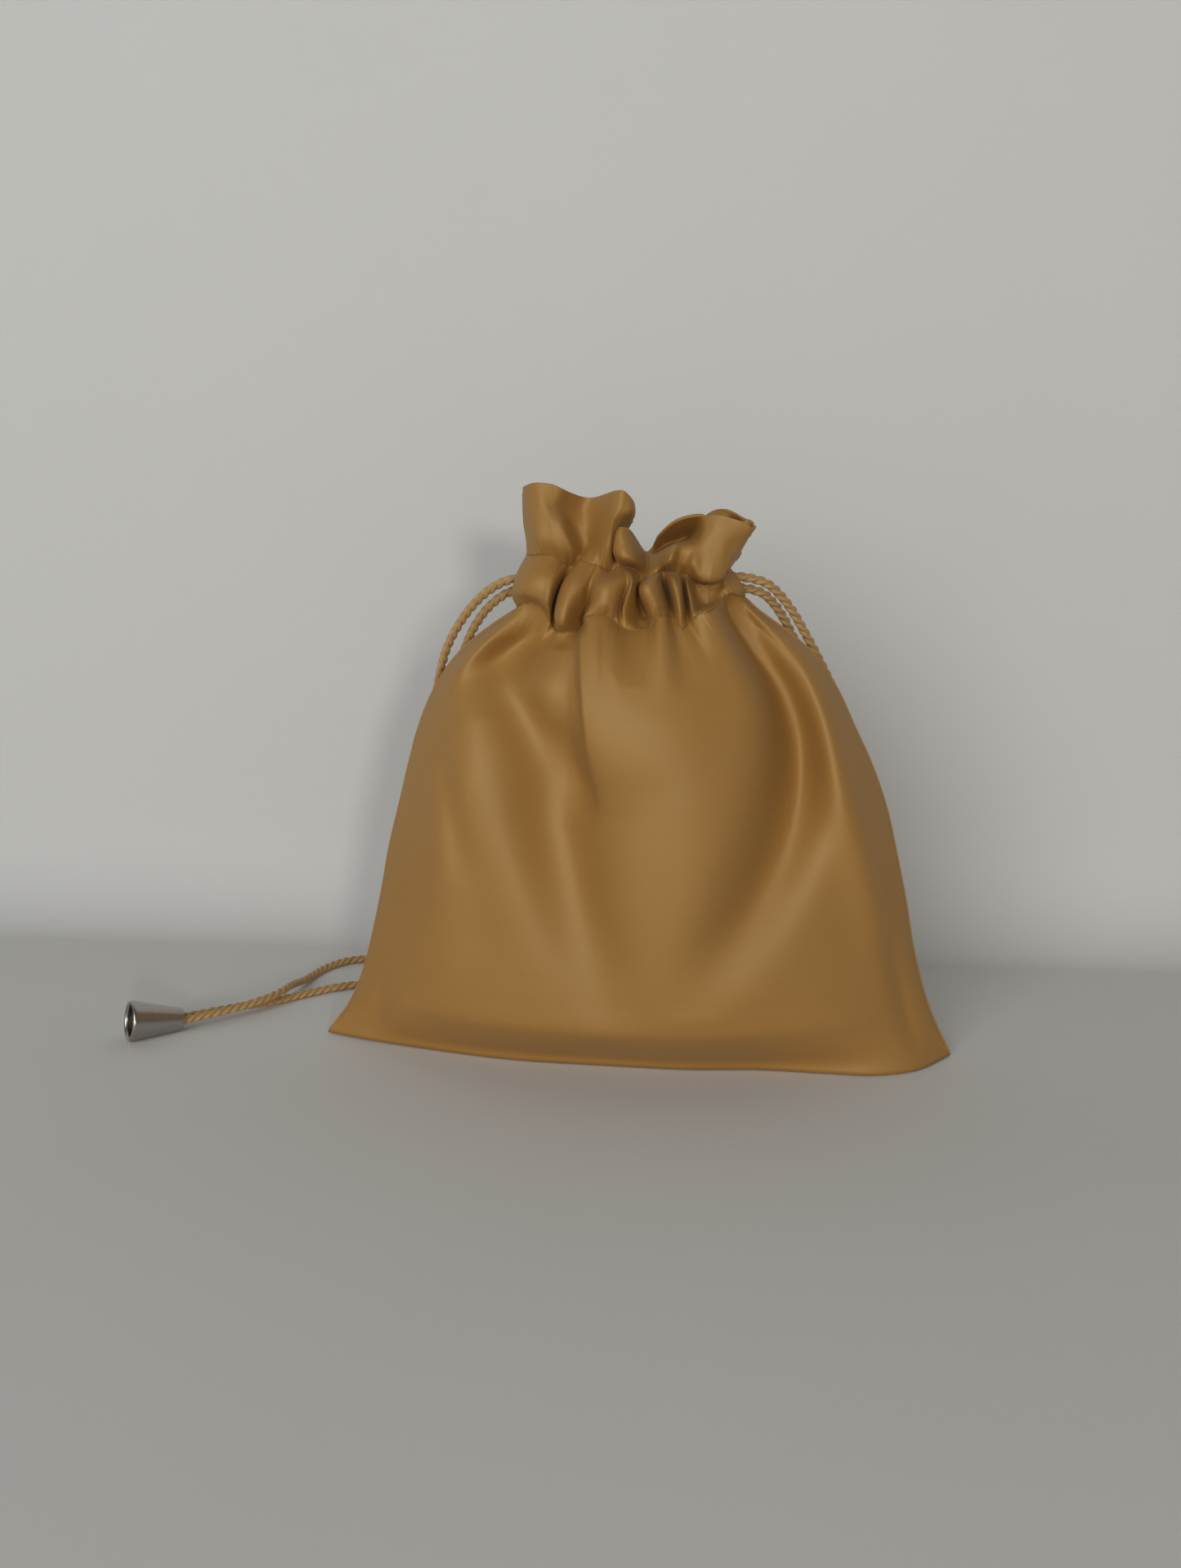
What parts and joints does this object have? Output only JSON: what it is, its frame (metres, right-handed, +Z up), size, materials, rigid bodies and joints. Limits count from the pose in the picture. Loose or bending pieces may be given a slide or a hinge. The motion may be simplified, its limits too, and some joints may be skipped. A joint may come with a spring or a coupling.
{
  "type": "fabric gift sack",
  "caption": "Stuffed satin drawstring gift sack with a gathered frilled mouth, twisted cord drawstrings and metal bell-shaped cord ends.",
  "frame": {"origin": "middle of the base, where the sack stands", "axes": "+Z up, +X to the right of a viewer who faces the front, front towards -Y"},
  "size_m": [0.3349, 0.1503, 0.221],
  "materials": {
    "satin": "gold duchess satin, soft sheen",
    "rope": "twisted shiny rayon cord",
    "thread": "matching sewing thread",
    "nickel": "brushed nickel"
  },
  "bodies": {
    "sack": {"front_panel": "satin", "back_panel": "satin", "left_side_seam": "satin", "right_side_seam": "satin", "bottom_seam": "satin"},
    "front_mouth": {"front_casing": "satin", "front_facing": "satin", "front_frill": "satin", "front_lower_stitching": "thread", "front_upper_stitching": "thread", "left_drawstring_front_run": "rope", "right_drawstring_front_run": "rope"},
    "back_mouth": {"back_casing": "satin", "back_facing": "satin", "back_frill": "satin", "back_lower_stitching": "thread", "back_upper_stitching": "thread", "left_drawstring_back_run": "rope", "right_drawstring_back_run": "rope"},
    "left_drawstring": {"left_outer_tail": "rope", "left_inner_tail": "rope", "left_knot": "rope"},
    "right_drawstring": {"right_outer_tail": "rope", "right_inner_tail": "rope", "right_knot": "rope"},
    "left_cord_end_body": {"left_cord_end": "nickel"},
    "right_cord_end_body": {"right_cord_end": "nickel"}
  },
  "joints": [
    {"name": "front_mouth_open", "type": "hinge", "parent": "sack", "child": "front_mouth", "pos_m": [0, -0.02615, 0.1733], "axis": [1, 0, 0], "range_deg": [0, 14]},
    {"name": "back_mouth_open", "type": "hinge", "parent": "sack", "child": "back_mouth", "pos_m": [0, 0.02615, 0.1733], "axis": [-1, 0, 0], "range_deg": [0, 14]},
    {"name": "left_drawstring_pull", "type": "slide", "parent": "sack", "child": "left_drawstring", "axis": [-1, 0, 0], "range_m": [0, 0.008]},
    {"name": "right_drawstring_pull", "type": "slide", "parent": "sack", "child": "right_drawstring", "axis": [1, 0, 0], "range_m": [0, 0.008]},
    {"name": "left_cord_end_slide", "type": "slide", "parent": "left_drawstring", "child": "left_cord_end_body", "axis": [0.788, 0.6157, 0], "range_m": [0, 0.01]},
    {"name": "right_cord_end_slide", "type": "slide", "parent": "right_drawstring", "child": "right_cord_end_body", "axis": [0.9994, -0.0349, 0], "range_m": [0, 0.01]}
  ],
  "couplings": [
    {"joint": "back_mouth_open", "follows": "front_mouth_open", "ratio": 1}
  ]
}
